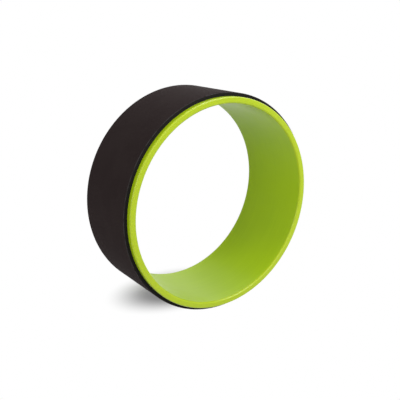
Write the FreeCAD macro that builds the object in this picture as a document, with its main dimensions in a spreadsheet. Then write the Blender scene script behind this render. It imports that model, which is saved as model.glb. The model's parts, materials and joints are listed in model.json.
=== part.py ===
# A yoga wheel: a stiff plastic hoop, open in the middle, with a foam tread stuck round its outside.
# It stands upright on its tread, as it does in use. Y is the wheel's axis, Z is up, the origin is the
# wheel's centre, and lengths are in millimetres.
import FreeCAD, Part
import os

import Sketcher

# The sizes that can be set by themselves: name, value, what it measures.
SIZES = [
    ("bore_diameter", 300, "clear opening through the hoop"),
    ("hoop_wall", 9.65, "thickness of the hoop's wall"),
    ("hoop_width", 130, "length of the hoop along its axis"),
    ("rim_outer_round", 1.8, "radius on the hoop's two outer edges"),
    ("rim_inner_round", 3, "radius on the hoop's two inner edges"),
    ("film_clearance", 0.2, "space left between the hoop and the adhesive film"),
    ("film_thickness", 0.15, "adhesive film between the hoop and the tread"),
    ("tread_thickness", 5, "foam of the tread"),
    ("bare_margin", 8.5, "strip of bare hoop beside each edge of the tread"),
    ("tread_shoulder", 1, "radius on the tread's two outer edges"),
    ("seam_gap", 0.4, "glue line between the two ends of the foam strip"),
    ("seam_recess", 0.8, "depth of the glue line below the tread's face"),
    ("seam_overrun", 2, "how far the cut for the seam runs past the foam"),
    ("seam_angle", 35, "degrees that the seam lies below the +X side"),
]

# Sizes that follow from those, from the opening outwards.
BORE_RADIUS = "sizes.bore_diameter / 2"
HOOP_RADIUS = f"{BORE_RADIUS} + sizes.hoop_wall"
FILM_SEAT_RADIUS = f"{HOOP_RADIUS} + sizes.film_clearance"
FILM_RADIUS = f"{FILM_SEAT_RADIUS} + sizes.film_thickness"
TREAD_RADIUS = f"{FILM_RADIUS} + sizes.tread_thickness"
HOOP_WIDTH = "sizes.hoop_width"
TREAD_WIDTH = "sizes.hoop_width - 2 * sizes.bare_margin"

FULL_TURN = 360
RADIUS_MATCH_SHARE = 1e-6


def make_sheet(doc):
    """Put the sizes into the document's sheet, one row each."""
    sheet = doc.addObject("Spreadsheet::Sheet", "sizes")
    for row, (name, value, meaning) in enumerate(SIZES, start=1):
        sheet.set(f"A{row}", name)
        sheet.set(f"B{row}", str(value))
        sheet.setAlias(f"B{row}", name)
        sheet.set(f"C{row}", meaning)
    doc.recompute()


def make_body(doc, name):
    """Start a piece whose label is also the name of its file."""
    body = doc.addObject("PartDesign::Body", name)
    body.Label = name
    return body


def sketch_rectangle(body, name, plane, near, far, across):
    """Draw a rectangle from near to far along the plane's first axis, centred across that axis."""
    sketch = body.newObject("Sketcher::SketchObject", name)
    origin_plane = next(f for f in body.Origin.OriginFeatures if f.Role == plane)
    sketch.AttachmentSupport = (origin_plane, [""])
    sketch.MapMode = "FlatFace"

    low, high = (sketch.evalExpression(edge) for edge in (near, far))
    half = sketch.evalExpression(f"({across}) / 2")
    corners = [
        FreeCAD.Vector(low, -half),
        FreeCAD.Vector(low, half),
        FreeCAD.Vector(high, half),
        FreeCAD.Vector(high, -half),
    ]
    sides = range(len(corners))
    following = [*sides[1:], sides[0]]
    for side, after in zip(sides, following):
        sketch.addGeometry(Part.LineSegment(corners[side], corners[after]))
    for side, after in zip(sides, following):
        sketch.addConstraint(Sketcher.Constraint("Coincident", side, 2, after, 1))
    sketch.addConstraint(Sketcher.Constraint("Symmetric", 0, 1, 0, 2, -1))
    sketch.addConstraint(Sketcher.Constraint("Horizontal", 1))
    sketch.addConstraint(Sketcher.Constraint("Vertical", 2))
    sketch.addConstraint(Sketcher.Constraint("Horizontal", 3))

    measured = {
        "near": (Sketcher.Constraint("DistanceX", -1, 1, 0, 1, low), near),
        "far": (Sketcher.Constraint("DistanceX", -1, 1, 2, 1, high), far),
        "across": (Sketcher.Constraint("DistanceY", 0, 1, 0, 2, 2 * half), across),
    }
    for label, (constraint, expression) in measured.items():
        sketch.renameConstraint(sketch.addConstraint(constraint), label)
        sketch.setExpression(f"Constraints.{label}", expression)
    return sketch


def turn_ring(body, inner, outer, width):
    """Turn a ring about the wheel's axis from its rectangular section."""
    section = sketch_rectangle(body, f"{body.Label}_section", "XY_Plane", inner, outer, width)
    ring = body.newObject("PartDesign::Revolution", f"{body.Label}_ring")
    ring.Profile = section
    ring.ReferenceAxis = (section, ["V_Axis"])
    ring.Angle = FULL_TURN
    body.Document.recompute()
    return ring


def round_edges(body, base, name, at_radius, size):
    """Round the circular edges of a ring that lie at one radius."""
    wanted = body.evalExpression(at_radius)
    edges = [
        f"Edge{number}"
        for number, edge in enumerate(base.Shape.Edges, start=1)
        if isinstance(edge.Curve, Part.Circle)
        and abs(edge.Curve.Radius - wanted) < wanted * RADIUS_MATCH_SHARE
    ]
    fillet = body.newObject("PartDesign::Fillet", name)
    fillet.Base = (base, edges)
    fillet.setExpression("Radius", size)
    body.Document.recompute()
    return fillet


def part_strip(body, base, inner, outer):
    """Cut a ring through at the seam, so that it is a strip with two ends."""
    cut = sketch_rectangle(
        body,
        f"{body.Label}_seam_section",
        "XZ_Plane",
        f"{inner} - sizes.seam_overrun",
        f"{outer} + sizes.seam_overrun",
        "sizes.seam_gap",
    )
    seam = body.newObject("PartDesign::Pocket", f"{body.Label}_seam")
    seam.Profile = cut
    seam.Type = "ThroughAll"
    seam.SideType = "Symmetric"
    body.Document.recompute()
    if seam.Shape.Volume >= base.Shape.Volume:
        raise RuntimeError(f"the seam doesn't cut {body.Label}")


def turn_to_seam(body):
    """Turn a piece about the wheel's axis, which brings its seam round from the +X side."""
    angle = body.evalExpression("sizes.seam_angle")
    body.Placement = FreeCAD.Placement(
        FreeCAD.Vector(), FreeCAD.Rotation(FreeCAD.Vector(0, 1, 0), angle)
    )
    body.setExpression("Placement.Rotation.Angle", "sizes.seam_angle")


def make_core_ring(doc):
    """The plastic hoop, with its four edges rounded."""
    body = make_body(doc, "core_ring")
    ring = turn_ring(body, BORE_RADIUS, HOOP_RADIUS, HOOP_WIDTH)
    outer = round_edges(body, ring, "outer_rounds", HOOP_RADIUS, "sizes.rim_outer_round")
    round_edges(body, outer, "inner_rounds", BORE_RADIUS, "sizes.rim_inner_round")
    return body


def make_adhesive_film(doc):
    """The film that holds the tread, as wide as the tread and parted at the same seam."""
    body = make_body(doc, "adhesive_film")
    ring = turn_ring(body, FILM_SEAT_RADIUS, FILM_RADIUS, TREAD_WIDTH)
    part_strip(body, ring, FILM_SEAT_RADIUS, FILM_RADIUS)
    turn_to_seam(body)
    return body


def make_foam_tread(doc):
    """The foam strip wound once round the hoop, with soft shoulders."""
    body = make_body(doc, "foam_tread")
    ring = turn_ring(body, FILM_RADIUS, TREAD_RADIUS, TREAD_WIDTH)
    rounded = round_edges(body, ring, "shoulders", TREAD_RADIUS, "sizes.tread_shoulder")
    part_strip(body, rounded, FILM_RADIUS, TREAD_RADIUS)
    turn_to_seam(body)
    return body


def make_seam_glue(doc):
    """The glue between the ends of the strip, from the film's seat to just below the tread's face."""
    body = make_body(doc, "seam_glue")
    section = sketch_rectangle(
        body,
        "glue_section",
        "XZ_Plane",
        FILM_SEAT_RADIUS,
        f"{TREAD_RADIUS} - sizes.seam_recess",
        "sizes.seam_gap",
    )
    glue = body.newObject("PartDesign::Pad", "glue_line")
    glue.Profile = section
    glue.SideType = "Symmetric"
    glue.setExpression("Length", f"{TREAD_WIDTH} - 2 * sizes.tread_shoulder")
    turn_to_seam(body)
    return body


def check(doc, bodies):
    """Stop if anything in the document failed or any piece has no sound solid."""
    for item in doc.Objects:
        if "Invalid" in item.State or "Error" in item.State:
            raise RuntimeError(f"{item.Label} failed: {item.State}")
    for body in bodies:
        if body.Shape.isNull() or not body.Shape.isValid() or len(body.Shape.Solids) != 1:
            raise RuntimeError(f"{body.Label} isn't one sound solid")


def main():
    doc = FreeCAD.newDocument("yoga_wheel")
    make_sheet(doc)
    bodies = [
        make_core_ring(doc),
        make_adhesive_film(doc),
        make_foam_tread(doc),
        make_seam_glue(doc),
    ]
    doc.recompute()
    check(doc, bodies)
    os.makedirs("parts", exist_ok=True)
    for body in bodies:
        body.Shape.exportStep(f"parts/{body.Label}.step")
        print(f"{body.Label}: {body.Shape.Volume:.0f} mm3")


main()
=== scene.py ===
import json
import math
from functools import cached_property

import bmesh
import bpy
from bpy.props import FloatProperty, FloatVectorProperty, IntProperty, PointerProperty
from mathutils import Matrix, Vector


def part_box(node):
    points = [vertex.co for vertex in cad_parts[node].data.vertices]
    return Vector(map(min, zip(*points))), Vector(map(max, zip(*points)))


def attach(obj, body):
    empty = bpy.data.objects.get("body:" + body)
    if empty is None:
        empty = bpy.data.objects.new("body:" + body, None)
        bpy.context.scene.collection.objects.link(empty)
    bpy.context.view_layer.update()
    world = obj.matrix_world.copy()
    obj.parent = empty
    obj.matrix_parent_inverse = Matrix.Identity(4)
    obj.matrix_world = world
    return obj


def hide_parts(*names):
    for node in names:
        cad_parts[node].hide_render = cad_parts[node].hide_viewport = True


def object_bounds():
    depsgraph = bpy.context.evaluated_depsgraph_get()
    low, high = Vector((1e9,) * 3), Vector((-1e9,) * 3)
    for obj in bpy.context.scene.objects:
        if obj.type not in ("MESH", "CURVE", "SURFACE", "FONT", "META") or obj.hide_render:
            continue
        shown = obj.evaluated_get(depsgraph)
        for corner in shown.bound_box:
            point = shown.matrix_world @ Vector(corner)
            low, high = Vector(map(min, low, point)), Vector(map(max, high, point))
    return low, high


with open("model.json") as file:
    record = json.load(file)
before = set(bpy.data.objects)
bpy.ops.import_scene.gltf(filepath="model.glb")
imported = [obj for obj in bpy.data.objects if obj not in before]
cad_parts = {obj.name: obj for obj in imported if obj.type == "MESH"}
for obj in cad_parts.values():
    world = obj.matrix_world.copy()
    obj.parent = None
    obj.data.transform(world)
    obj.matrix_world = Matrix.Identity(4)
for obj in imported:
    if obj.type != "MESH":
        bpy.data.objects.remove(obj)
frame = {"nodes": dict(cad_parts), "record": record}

bl_info = {
    "name": "Yoga wheel",
    "version": (1, 0, 0),
    "blender": (4, 5, 0),
    "location": "View3D > Sidebar > Yoga wheel",
    "description": "A lime plastic hoop with a charcoal foam tread, on a white studio floor",
    "category": "Object",
}

MM = 0.001
BODY = "root"
PHOTO_SIDE = 400
AXIS = (0, 1, 0)
MERGE_DISTANCE = 0.001 * MM
SKIN_DEPTH = 0.01 * MM
SMOOTH_ANGLE = math.radians(40)
WHITE = (1, 1, 1, 1)

# The floor's side, and the oval beside the wheel's foot where the floor shows its own shade: its middle,
# how much narrower it is along the wheel's axis, where it fades out, and how white its middle is.
FLOOR_SIDE = 12
SHADOW_MIDDLE = (-29 * MM, 40 * MM)
SHADOW_SQUEEZE = 1.45
SHADOW_FADE = (43 * MM, 120 * MM)
SHADOW_WHITE = 0.17

# The soft boxes, named as their powers are: azimuth and elevation in degrees, distance and side in metres.
SOFT_BOXES = {
    "key": (33, 37, 1.5, 0.5),
    "front": (0, 22, 1.5, 0.9),
    "rear_left": (225, 12, 2, 2),
    "rear_right": (135, 35, 1.5, 1.5),
    "side": (287, 15, 1.5, 0.9),
    "overhead": (90, 80, 1.4, 0.35),
}

CAD_BOX = [list(corner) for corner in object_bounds()]
HOOP_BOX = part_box("core_ring")
FILM_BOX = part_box("adhesive_film")
TREAD_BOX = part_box("foam_tread")
GLUE_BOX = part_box("seam_glue")
BORE = next(mount for mount in frame["record"]["mounts"] if mount["name"] == "hoop_bore")


def width_of(box):
    """How far a node reaches along the wheel's axis."""
    return box[1].y - box[0].y


def reach_of(box):
    """How far a node reaches from the wheel's axis."""
    return max(*box[1].xz, *(-box[0]).xz)


def seam_turn():
    """Angle about the wheel's axis from the +X side to the seam."""
    middle = (GLUE_BOX[0] + GLUE_BOX[1]) / 2
    return math.atan2(-middle.z, middle.x)


def length(name, description, default):
    """A length that a user may change."""
    return FloatProperty(
        name=name,
        description=description,
        default=default,
        min=0,
        precision=5,
        subtype="DISTANCE",
        unit="LENGTH",
    )


def angle(name, description, default):
    """An angle that a user may change, in radians."""
    return FloatProperty(
        name=name, description=description, default=default, subtype="ANGLE", unit="ROTATION"
    )


def colour(name, description, default):
    """A colour that a user may change."""
    return FloatVectorProperty(
        name=name, description=description, default=(*default, 1), size=4, min=0, max=1, subtype="COLOR"
    )


def watts(name, description, default):
    """The power of a lamp."""
    return FloatProperty(name=name, description=description, default=default, min=0, unit="POWER")


class WheelSizes(bpy.types.PropertyGroup):
    """Sizes of the hoop and its tread, as the solid model has them, and of the foam's finer forms."""

    bore_radius: length("Bore radius", "Inside of the hoop", BORE["dims"]["r_mm"] * MM)
    hoop_radius: length("Hoop radius", "Outside of the bare hoop", reach_of(HOOP_BOX))
    hoop_width: length("Hoop width", "Hoop from edge to edge", width_of(HOOP_BOX))
    rim_outer_round: length("Outer round", "Radius on the hoop's outer edges", 1.8 * MM)
    rim_inner_round: length("Inner round", "Radius on the hoop's inner edges", 3 * MM)
    film_radius: length("Film radius", "Outside of the film, where the foam starts", reach_of(FILM_BOX))
    tread_radius: length("Tread radius", "Outside of the foam", reach_of(TREAD_BOX))
    tread_width: length("Tread width", "Foam from edge to edge", width_of(TREAD_BOX))
    tread_shoulder: length("Shoulder", "Radius on the foam's outer edges", 1 * MM)
    seam_gap: length("Seam gap", "Space between the two ends of the foam", 0.4 * MM)
    seam_lip: length("Seam lip", "Radius on the outer edge of each end of the foam", 0.6 * MM)
    seam_angle: angle("Seam angle", "How far the seam lies below the +X side", seam_turn())
    unevenness: length("Unevenness", "Depth of the foam's gentle unevenness", 0.25 * MM)
    unevenness_spread: length("Unevenness spread", "Size of one swell of the foam", 35 * MM)
    hoop_steps: IntProperty(name="Hoop steps", description="Faces round the hoop", default=288, min=32)
    tread_steps: IntProperty(name="Tread steps", description="Faces round the foam", default=480, min=32)


class WheelColours(bpy.types.PropertyGroup):
    """Colours of the plastic, the foam, what joins them and the floor."""

    lime: colour("Lime", "Moulded plastic of the hoop", (0.41, 0.59, 0.004))
    lime_deep: colour("Deep lime", "Where the plastic is a shade denser", (0.38, 0.56, 0.003))
    # Painted light: a yellower copy of the lime that stands for how the rims' lit faces look beside the
    # shaded walls.
    lime_rim_painted_light: colour("Rim lime", "Plastic polished along the hoop's two edges", (0.445, 0.58, 0.004))
    lime_scuff: colour("Lime scuff", "Plastic that handling has rubbed pale", (0.55, 0.67, 0.10))
    # Dust and painted shade: a darker lime for the corner where the hoop meets the foam's edge.
    lime_dust_and_shade: colour("Lime grime", "Dust held beside the foam", (0.20, 0.24, 0.02))
    charcoal: colour("Charcoal", "Skin of the foam", (0.0205, 0.0135, 0.0134))
    charcoal_pale: colour("Pale charcoal", "Where the foam's skin is paler", (0.0255, 0.0177, 0.0173))
    # Wear and painted sheen: paler foam for rubbed edges, set light enough to stand for a sheen there.
    charcoal_worn_and_sheen: colour("Worn charcoal", "Foam rubbed along its edges", (0.052, 0.047, 0.048))
    foam_cut: colour("Cut foam", "Open cells at the sides of the foam", (0.0145, 0.0134, 0.0131))
    film: colour("Film", "Adhesive film under the foam", (0.012, 0.012, 0.011))
    film_dust: colour("Film dust", "Lint stuck to the film's edge", (0.05, 0.05, 0.045))
    glue: colour("Glue", "Dried glue in the seam", (0.03, 0.024, 0.018))
    glue_pale: colour("Pale glue", "Where the glue has dried thin", (0.07, 0.055, 0.04))
    floor: colour("Floor", "Studio floor", (0.52, 0.52, 0.52))


class StudioSettings(bpy.types.PropertyGroup):
    """Camera and lamps."""

    azimuth: angle("Azimuth", "Camera's direction round the wheel", math.radians(-35.307))
    elevation: angle("Elevation", "Camera's height above the wheel's centre", math.radians(16.771))
    distance: length("Distance", "Camera to the wheel's centre", 0.9515)
    lens: FloatProperty(name="Lens", description="Focal length in millimetres", default=55.151, min=1)
    rise: FloatProperty(
        name="Rise", description="Pixels from mid-picture up to the wheel's centre", default=4.394
    )
    slide: FloatProperty(
        name="Slide", description="Pixels from mid-picture right to the wheel's centre", default=0.286
    )
    key: watts("Key", "Soft box to the front and right", 10.5)
    front: watts("Front", "Soft box in front of the wheel", 5.8)
    rear_left: watts("Rear left", "Broad panel that shines in through the hoop", 3.1)
    rear_right: watts("Rear right", "Broad panel behind and to the right", 6)
    side: watts("Side", "Soft box to the left, on the tread", 7)
    overhead: watts("Overhead", "Small box that puts the glint on the rims", 4.5)
    ambient: FloatProperty(name="Ambient", description="Light from all round", default=0.27, min=0)


class Socket:
    """An output in a node tree: arithmetic on it adds Math nodes, and make adds any other node."""

    def __init__(self, tree, output=None):
        self.tree = tree
        self.output = output

    def make(self, kind, settings=None, inputs=None, output=0):
        """Add a node, set it up, feed its inputs and give back one of its outputs."""
        node = self.tree.nodes.new(kind)
        for name, value in (settings or {}).items():
            setattr(node, name, value)
        for name, value in (inputs or {}).items():
            if isinstance(value, Socket):
                self.tree.links.new(value.output, node.inputs[name])
            else:
                node.inputs[name].default_value = value
        return Socket(self.tree, node.outputs[output])

    def sibling(self, name):
        """Another output of the same node."""
        return Socket(self.tree, self.output.node.outputs[name])

    def math(self, operation, first, second=0):
        """Add a Math node."""
        return self.make("ShaderNodeMath", {"operation": operation}, {0: first, 1: second})

    def __add__(self, other):
        return self.math("ADD", self, other)

    def __radd__(self, other):
        return self.math("ADD", other, self)

    def __sub__(self, other):
        return self.math("SUBTRACT", self, other)

    def __rsub__(self, other):
        return self.math("SUBTRACT", other, self)

    def __mul__(self, other):
        return self.math("MULTIPLY", self, other)

    def __rmul__(self, other):
        return self.math("MULTIPLY", other, self)

    def __abs__(self):
        return self.math("ABSOLUTE", self)

    def at_least(self, other):
        """The larger of this and another value."""
        return self.math("MAXIMUM", self, other)

    def at_most(self, other):
        """The smaller of this and another value."""
        return self.math("MINIMUM", self, other)

    def ramp(self, start, end):
        """0 at start and before it, 1 at end and past it, eased between; start may be above end."""
        return self.make(
            "ShaderNodeMapRange",
            {"interpolation_type": "SMOOTHSTEP"},
            {"Value": self, "From Min": start, "From Max": end},
        )

    def noise(self, scale, detail=2, roughness=0.5):
        """Cloudy values about 0.5 over the places that this socket gives."""
        return self.make(
            "ShaderNodeTexNoise",
            None,
            {"Vector": self, "Scale": scale, "Detail": detail, "Roughness": roughness},
        )

    def cells(self, scale):
        """Distance from the nearest cell's middle, over the places that this socket gives."""
        return self.make("ShaderNodeTexVoronoi", None, {"Vector": self, "Scale": scale})

    def between(self, first, second, share=1):
        """The colour that goes from first a share of the way to second as this goes from 0 to 1."""
        factor = self if share == 1 else self * share
        return self.make(
            "ShaderNodeMix", {"data_type": "RGBA"}, {"Factor": factor, 6: first, 7: second}, output=2
        )


class Finish:
    """A material that is laid out by place on the wheel."""

    def __init__(self, name):
        self.material = bpy.data.materials.new(name)
        self.material.use_nodes = True
        tree = self.material.node_tree
        self.shader = tree.nodes["Principled BSDF"]
        self.place = Socket(tree).make("ShaderNodeTexCoord", output="Object")

    @cached_property
    def x(self):
        """Place along the way that the wheel rolls."""
        return self.place.make("ShaderNodeSeparateXYZ", None, {0: self.place})

    @property
    def y(self):
        """Place along the wheel's axis."""
        return self.x.sibling("Y")

    @property
    def z(self):
        """Height above the wheel's centre."""
        return self.x.sibling("Z")

    @cached_property
    def off_middle(self):
        """Distance from the middle of the wheel's width."""
        return abs(self.y)

    @cached_property
    def radius(self):
        """Distance from the wheel's axis."""
        off_axis = self.place.make(
            "ShaderNodeVectorMath", {"operation": "MULTIPLY"}, {0: self.place, 1: (1, 0, 1)}
        )
        return off_axis.make(
            "ShaderNodeVectorMath", {"operation": "LENGTH"}, {0: off_axis}, output="Value"
        )

    def turned(self, spacing, drift):
        """Places for lines that run round the wheel, spacing apart, and change slowly on the way."""
        lines = (self.y + self.radius) * (1 / spacing)
        return self.place.make(
            "ShaderNodeCombineXYZ",
            None,
            {"X": self.x * (1 / drift), "Y": lines, "Z": self.z * (1 / drift)},
        )

    def fixed(self, values):
        """Set the shader's inputs that don't vary over the surface."""
        for name, value in values.items():
            self.shader.inputs[name].default_value = value

    def vary(self, name, socket):
        """Feed an input of the shader that varies over the surface."""
        socket.tree.links.new(socket.output, self.shader.inputs[name])

    def emboss(self, height, depth):
        """Bump the surface by height, where 1 stands for depth."""
        self.vary("Normal", height.make("ShaderNodeBump", None, {"Height": height, "Distance": depth}))


def lime_plastic(sizes, colours):
    """Satin moulded plastic: fine grain, faint flow marks, handling scuffs, a painted lit tint on its
    rims, and dust and painted shade beside the foam.
    """
    finish = Finish("lime_plastic")
    place = finish.place
    half_hoop = sizes.hoop_width / 2
    half_tread = sizes.tread_width / 2

    flow = place.noise(scale=9, detail=3)
    streaks = finish.turned(spacing=2.5 * MM, drift=90 * MM).noise(scale=1, detail=3)
    density = (flow * 0.6 + streaks * 0.4).ramp(0.35, 0.65)
    shade = density.between(colours.lime_deep, colours.lime)
    # Painted light: the rims take a yellower copy of the lime, for how their lit faces look beside the
    # shaded walls.
    on_rim = finish.off_middle.ramp(half_hoop - 4 * MM, half_hoop - 2 * MM)
    shade = on_rim.between(shade, colours.lime_rim_painted_light)

    at_edge = finish.off_middle.ramp(half_hoop - 3.2 * MM, half_hoop - 1 * MM)
    on_outside = finish.radius.ramp(sizes.hoop_radius - 4 * MM, sizes.hoop_radius - 0.5 * MM)
    rubs = place.noise(scale=110, detail=3).ramp(0.5, 0.75)
    wear = at_edge * on_outside * rubs
    shade = wear.between(shade, colours.lime_scuff, share=0.2)

    # Dust and painted shade: the lime darkens in the corner beside the foam's edge, where shade falls.
    beside_foam = finish.off_middle.ramp(half_tread + 0.9 * MM, half_tread + 0.1 * MM)
    on_skin = finish.radius.ramp(sizes.hoop_radius - 0.4 * MM, sizes.hoop_radius - 0.1 * MM)
    dust_and_shade = beside_foam * on_skin * place.noise(scale=180, detail=4).ramp(0.2, 0.6)
    shade = dust_and_shade.between(shade, colours.lime_dust_and_shade, share=0.8)
    finish.vary("Base Color", shade)

    smudges = place.noise(scale=24, detail=5, roughness=0.6).ramp(0.5, 0.75)
    finish.vary("Roughness", 0.27 + smudges * 0.07 + streaks * 0.05 + wear * 0.15 + dust_and_shade * 0.3)

    grain = place.noise(scale=2400, detail=3)
    swell = place.noise(scale=70, detail=1)
    polish = finish.turned(spacing=0.5 * MM, drift=40 * MM).noise(scale=1, detail=2)
    texture = grain * 0.05 + polish * 0.03 + swell * 0.7
    finish.emboss(texture * (1 - on_rim), depth=0.06 * MM)
    polished = on_rim.at_least(on_skin)
    finish.vary("Coat Weight", polished * (0.6 - wear * 0.2))
    finish.fixed({"IOR": 1.5, "Specular IOR Level": 0.13, "Coat Roughness": 0.24, "Coat IOR": 1.5})
    return finish.material


def charcoal_foam(sizes, colours):
    """Matt closed-cell foam: pitted and mottled, paler along its edges for rubbing and a painted sheen,
    black where it is cut.
    """
    finish = Finish("charcoal_foam")
    place = finish.place
    half_tread = sizes.tread_width / 2

    mottle = place.noise(scale=28, detail=4, roughness=0.6)
    speckle = place.noise(scale=700, detail=2)
    tone = (mottle * 0.7 + speckle * 0.3).ramp(0.36, 0.64)
    shade = tone.between(colours.charcoal, colours.charcoal_pale)

    # Wear and painted sheen: the shoulders go paler, partly from rubbing and partly as a painted sheen.
    on_shoulder = finish.off_middle.ramp(half_tread - 2 * MM, half_tread - 0.5 * MM)
    rubbed = on_shoulder * place.noise(scale=90, detail=4).ramp(0.25, 0.6)
    shade = rubbed.between(shade, colours.charcoal_worn_and_sheen, share=0.8)

    cut = finish.off_middle.ramp(half_tread - 0.2 * MM, half_tread - 0.03 * MM)
    shade = cut.between(shade, colours.foam_cut)
    finish.vary("Base Color", shade)

    finish.vary("Roughness", 0.84 + mottle * 0.12 + cut * 0.05 - rubbed * 0.06)

    pits = place.cells(scale=1300)
    open_cells = place.cells(scale=900)
    skin = place.noise(scale=420, detail=3)
    texture = skin * 0.5 + pits * (1 - cut) * 0.5 + open_cells * cut * 1.4
    finish.emboss(texture, depth=0.09 * MM)
    finish.fixed({"IOR": 1.45, "Specular IOR Level": 0.08})
    return finish.material


def adhesive(colours):
    """Thin dark film with lint caught on it."""
    finish = Finish("adhesive")
    lint = finish.place.noise(scale=600, detail=4).ramp(0.55, 0.75)
    finish.vary("Base Color", lint.between(colours.film, colours.film_dust, share=0.6))
    finish.vary("Roughness", 0.35 + lint * 0.4)
    finish.emboss(finish.place.noise(scale=900, detail=3), depth=0.03 * MM)
    return finish.material


def dried_glue(colours):
    """Glue that has dried unevenly along the seam."""
    finish = Finish("glue")
    thin = finish.place.noise(scale=350, detail=4).ramp(0.4, 0.7)
    finish.vary("Base Color", thin.between(colours.glue, colours.glue_pale))
    finish.vary("Roughness", 0.3 + thin * 0.35)
    finish.emboss(finish.place.noise(scale=1200, detail=3), depth=0.1 * MM)
    return finish.material


def pick(piece, wanted):
    """In edit mode, select just the vertices whose place passes the test, and what lies between them."""
    bpy.ops.mesh.select_all(action="DESELECT")
    shape = bmesh.from_edit_mesh(piece.data)
    for vertex in shape.verts:
        vertex.select = wanted(vertex.co)
    shape.select_flush(True)
    bmesh.update_edit_mesh(piece.data)


def add_section(name, near, far, width):
    """Add a plane as the section of a ring, from near to far off the axis, and open it in edit mode."""
    bpy.ops.object.select_all(action="DESELECT")
    bpy.ops.mesh.primitive_plane_add(size=1, location=((near + far) / 2, 0, 0))
    piece = bpy.context.object
    piece.name = piece.data.name = name
    piece.scale = (far - near, width, 1)
    bpy.ops.object.transform_apply(location=True, rotation=True, scale=True)
    bpy.ops.object.mode_set(mode="EDIT")
    return piece


def round_corners(piece, wanted, radius, segments):
    """Round the corners of a section that pass the test."""
    pick(piece, wanted)
    bpy.ops.mesh.bevel(offset=radius, segments=segments, profile=0.5, affect="VERTICES")


def keep_outline():
    """Drop the face of a section, so that only its outline is left."""
    bpy.ops.mesh.select_all(action="SELECT")
    bpy.ops.mesh.delete(type="ONLY_FACE")


def divide(piece, wanted, cuts):
    """Cut the sides of an outline that pass the test into shorter ones."""
    pick(piece, wanted)
    bpy.ops.mesh.subdivide(number_cuts=cuts)


def spin_outline(steps, turn):
    """Turn an outline about the wheel's axis."""
    bpy.ops.mesh.select_all(action="SELECT")
    bpy.ops.mesh.spin(steps=steps, angle=turn, center=(0, 0, 0), axis=AXIS)


def close_up():
    """Merge doubles, face everything outwards and leave edit mode."""
    bpy.ops.mesh.select_all(action="SELECT")
    bpy.ops.mesh.remove_doubles(threshold=MERGE_DISTANCE)
    bpy.ops.mesh.normals_make_consistent(inside=False)
    bpy.ops.object.mode_set(mode="OBJECT")
    bpy.ops.object.shade_smooth_by_angle(angle=SMOOTH_ANGLE)


def apply_modifier(piece, kind, **settings):
    """Add a modifier to a piece and apply it."""
    modifier = piece.modifiers.new(kind.title(), kind)
    for name, value in settings.items():
        setattr(modifier, name, value)
    bpy.ops.object.modifier_apply(modifier=modifier.name)


def turn_about_axis(piece, turn):
    """Turn a piece about the wheel's axis, and leave its object unturned."""
    piece.rotation_euler.y = turn
    bpy.ops.object.transform_apply(location=True, rotation=True, scale=True)


def weigh_skin(piece, reach, half_width, bands, band_width):
    """Group the outer skin of a ring, with weights that grow from nothing at its edges to 1."""
    bpy.ops.object.vertex_group_add()
    bpy.ops.object.mode_set(mode="EDIT")
    for band in range(1, bands + 1):
        inner_half = half_width - band * band_width
        pick(piece, lambda place: place.xz.length > reach and abs(place.y) < inner_half)
        bpy.context.scene.tool_settings.vertex_group_weight = band / bands
        bpy.ops.object.vertex_group_assign()
    bpy.ops.object.mode_set(mode="OBJECT")
    return piece.vertex_groups.active.name


def flatten_below(piece, level):
    """Press whatever dips below a level up to it."""
    bpy.ops.object.mode_set(mode="EDIT")
    pick(piece, lambda place: place.z < level)
    bpy.ops.transform.resize(value=(1, 1, 0), center_override=(0, 0, level))
    bpy.ops.object.mode_set(mode="OBJECT")


def dress(piece, material):
    """Give a piece its one material."""
    piece.data.materials.clear()
    piece.data.materials.append(material)


class YOGAWHEEL_OT_hoop(bpy.types.Operator):
    """Turn the plastic hoop with its rounded edges"""

    bl_idname = "yoga_wheel.hoop"
    bl_label = "Hoop"

    def execute(self, context):
        sizes = context.scene.wheel_sizes
        near, far, half = sizes.bore_radius, sizes.hoop_radius, sizes.hoop_width / 2

        def inside(place):
            return place.x < near + MERGE_DISTANCE

        def outside(place):
            return place.x > far - MERGE_DISTANCE

        def at_end(place):
            return abs(place.y) > half - MERGE_DISTANCE

        hoop = add_section("hoop", near, far, sizes.hoop_width)
        round_corners(hoop, outside, sizes.rim_outer_round, segments=10)
        round_corners(hoop, inside, sizes.rim_inner_round, segments=10)
        keep_outline()
        divide(hoop, inside, cuts=11)
        divide(hoop, outside, cuts=11)
        divide(hoop, at_end, cuts=3)
        spin_outline(sizes.hoop_steps, math.tau)
        close_up()
        apply_modifier(hoop, "WEIGHTED_NORMAL", mode="FACE_AREA", weight=50)
        dress(hoop, lime_plastic(sizes, context.scene.wheel_colours))
        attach(hoop, BODY)
        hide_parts("core_ring")
        return {"FINISHED"}


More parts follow.
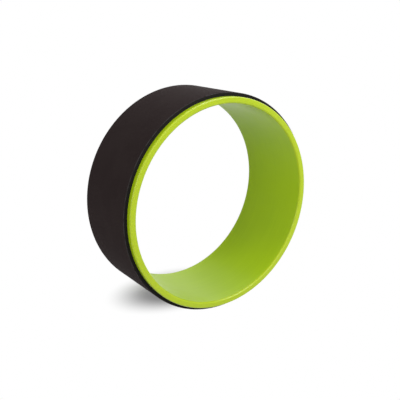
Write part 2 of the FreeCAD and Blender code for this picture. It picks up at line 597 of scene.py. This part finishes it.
class YOGAWHEEL_OT_tread(bpy.types.Operator):
    """Wind the foam strip round the hoop, with rounded edges, a butt seam and an uneven skin"""

    bl_idname = "yoga_wheel.tread"
    bl_label = "Foam tread"

    def execute(self, context):
        sizes = context.scene.wheel_sizes
        near, far, half = sizes.film_radius, sizes.tread_radius, sizes.tread_width / 2
        gap_turn = sizes.seam_gap / far
        seam_reach = 1.5 * sizes.seam_gap

        def outside(place):
            return place.x > far - MERGE_DISTANCE

        def at_side(place):
            return abs(place.y) > half - MERGE_DISTANCE

        def at_seam(place):
            return place.x > 0 and abs(place.z) < seam_reach

        tread = add_section("tread", near, far, sizes.tread_width)
        round_corners(tread, outside, sizes.tread_shoulder, segments=8)
        keep_outline()
        divide(tread, outside, cuts=55)
        divide(tread, at_side, cuts=2)
        spin_outline(sizes.tread_steps, math.tau - gap_turn)
        bpy.ops.mesh.select_all(action="SELECT")
        bpy.ops.mesh.fill_holes(sides=0)
        pick(tread, at_seam)
        bpy.ops.mesh.bevel(offset=sizes.seam_lip, segments=3, affect="EDGES")
        close_up()
        turn_about_axis(tread, sizes.seam_angle - gap_turn / 2)
        flat_half = half - sizes.tread_shoulder
        skin = weigh_skin(tread, far - SKIN_DEPTH, flat_half, bands=6, band_width=4 * MM)
        swells = bpy.data.textures.new("foam_swells", "CLOUDS")
        swells.noise_scale = sizes.unevenness_spread
        apply_modifier(
            tread,
            "DISPLACE",
            texture=swells,
            texture_coords="LOCAL",
            vertex_group=skin,
            strength=sizes.unevenness,
            mid_level=0.5,
        )
        flatten_below(tread, CAD_BOX[0][2])
        dress(tread, charcoal_foam(sizes, context.scene.wheel_colours))
        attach(tread, BODY)
        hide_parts("foam_tread")
        return {"FINISHED"}


class YOGAWHEEL_OT_bond(bpy.types.Operator):
    """Finish the film under the foam and the glue in its seam"""

    bl_idname = "yoga_wheel.bond"
    bl_label = "Film and glue"

    def execute(self, context):
        colours = context.scene.wheel_colours
        dress(frame["nodes"]["adhesive_film"], adhesive(colours))
        dress(frame["nodes"]["seam_glue"], dried_glue(colours))
        return {"FINISHED"}


def seen_directly(tree):
    """1 for what the camera, a reflection or a clear piece shows, 0 for light that falls on things."""
    path = Socket(tree).make("ShaderNodeLightPath", output="Is Camera Ray")
    seen = path + path.sibling("Is Glossy Ray") + path.sibling("Is Transmission Ray")
    return seen.at_most(1)


def surround_with_white(scene, ambient):
    """A white room that lights the wheel at the ambient level."""
    world = bpy.data.worlds.new("white_room")
    world.use_nodes = True
    scene.world = world
    background = world.node_tree.nodes["Background"]
    background.inputs["Color"].default_value = WHITE
    strength = ambient + seen_directly(world.node_tree) * (1 - ambient)
    world.node_tree.links.new(strength.output, background.inputs["Strength"])


def white_floor(colours):
    """Pale floor that turns to plain white away from the shadow beside the wheel's foot."""
    finish = Finish("white_floor")
    tree = finish.material.node_tree
    finish.fixed({"Base Color": colours.floor, "Roughness": 0.8, "Specular IOR Level": 0.1})
    from_middle = finish.place.make(
        "ShaderNodeMapping",
        None,
        {
            "Vector": finish.place,
            "Location": (-SHADOW_MIDDLE[0], -SHADOW_MIDDLE[1] * SHADOW_SQUEEZE, 0),
            "Scale": (1, SHADOW_SQUEEZE, 1),
        },
    )
    further_off = from_middle.make(
        "ShaderNodeVectorMath", {"operation": "LENGTH"}, {0: from_middle}, output="Value"
    ).ramp(*SHADOW_FADE)
    white = finish.place.make("ShaderNodeEmission", None, {"Color": WHITE, "Strength": 1})
    share = seen_directly(tree) * (SHADOW_WHITE + further_off * (1 - SHADOW_WHITE))
    mixed = finish.place.make(
        "ShaderNodeMixShader",
        None,
        {0: share, 1: Socket(tree, finish.shader.outputs[0]), 2: white},
    )
    tree.links.new(mixed.output, tree.nodes["Material Output"].inputs["Surface"])
    return finish.material


def way_out(azimuth, elevation):
    """Direction from the wheel's centre, where azimuth 0 is in front of the wheel."""
    flat = math.cos(elevation)
    return Vector((math.sin(azimuth) * flat, -math.cos(azimuth) * flat, math.sin(elevation)))


def add_soft_box(name, azimuth, elevation, distance, side, power):
    """Hang a square lamp that faces the wheel's centre, with its angles in degrees."""
    bpy.ops.object.select_all(action="DESELECT")
    way = way_out(math.radians(azimuth), math.radians(elevation))
    place = way * distance
    facing = way.to_track_quat("Z", "Y").to_euler()
    bpy.ops.object.light_add(type="AREA", location=place, rotation=facing)
    lamp = bpy.context.object
    lamp.name = lamp.data.name = name
    lamp.data.energy = power
    lamp.data.size = side
    lamp.visible_camera = False


class YOGAWHEEL_OT_studio(bpy.types.Operator):
    """Lay the floor, hang the lamps and set up the camera"""

    bl_idname = "yoga_wheel.studio"
    bl_label = "Studio"

    def execute(self, context):
        scene = context.scene
        studio = scene.wheel_studio
        scene.view_settings.view_transform = "Standard"
        surround_with_white(scene, studio.ambient)

        bpy.ops.object.select_all(action="DESELECT")
        bpy.ops.mesh.primitive_plane_add(size=FLOOR_SIDE, location=(0, 0, CAD_BOX[0][2]))
        floor = context.object
        floor.name = "floor"
        dress(floor, white_floor(scene.wheel_colours))

        for name, (azimuth, elevation, distance, side) in SOFT_BOXES.items():
            add_soft_box(name, azimuth, elevation, distance, side, getattr(studio, name))

        turn, tilt = studio.azimuth, studio.elevation
        facing = (math.radians(90) - tilt, 0, turn)
        bpy.ops.object.camera_add(location=way_out(turn, tilt) * studio.distance, rotation=facing)
        camera = context.object
        camera.data.lens = studio.lens
        camera.data.shift_x = -studio.slide / PHOTO_SIDE
        camera.data.shift_y = -studio.rise / PHOTO_SIDE
        scene.camera = camera
        return {"FINISHED"}


class YOGAWHEEL_PT_build(bpy.types.Panel):
    """The steps that build the wheel"""

    bl_idname = "YOGAWHEEL_PT_build"
    bl_label = "Yoga wheel"
    bl_space_type = "VIEW_3D"
    bl_region_type = "UI"
    bl_category = "Yoga wheel"

    def draw(self, context):
        for step in STEPS:
            self.layout.operator(step.bl_idname)


SETTINGS = {"wheel_sizes": WheelSizes, "wheel_colours": WheelColours, "wheel_studio": StudioSettings}
STEPS = [YOGAWHEEL_OT_hoop, YOGAWHEEL_OT_tread, YOGAWHEEL_OT_bond, YOGAWHEEL_OT_studio]
CLASSES = [*SETTINGS.values(), *STEPS, YOGAWHEEL_PT_build]


def register():
    for item in CLASSES:
        bpy.utils.register_class(item)
    for name, group in SETTINGS.items():
        setattr(bpy.types.Scene, name, PointerProperty(type=group))


def unregister():
    for name in SETTINGS:
        delattr(bpy.types.Scene, name)
    for item in reversed(CLASSES):
        bpy.utils.unregister_class(item)


def main():
    register()
    bpy.ops.yoga_wheel.hoop()
    bpy.ops.yoga_wheel.tread()
    bpy.ops.yoga_wheel.bond()
    bpy.ops.yoga_wheel.studio()


if __name__ == "__main__":
    main()
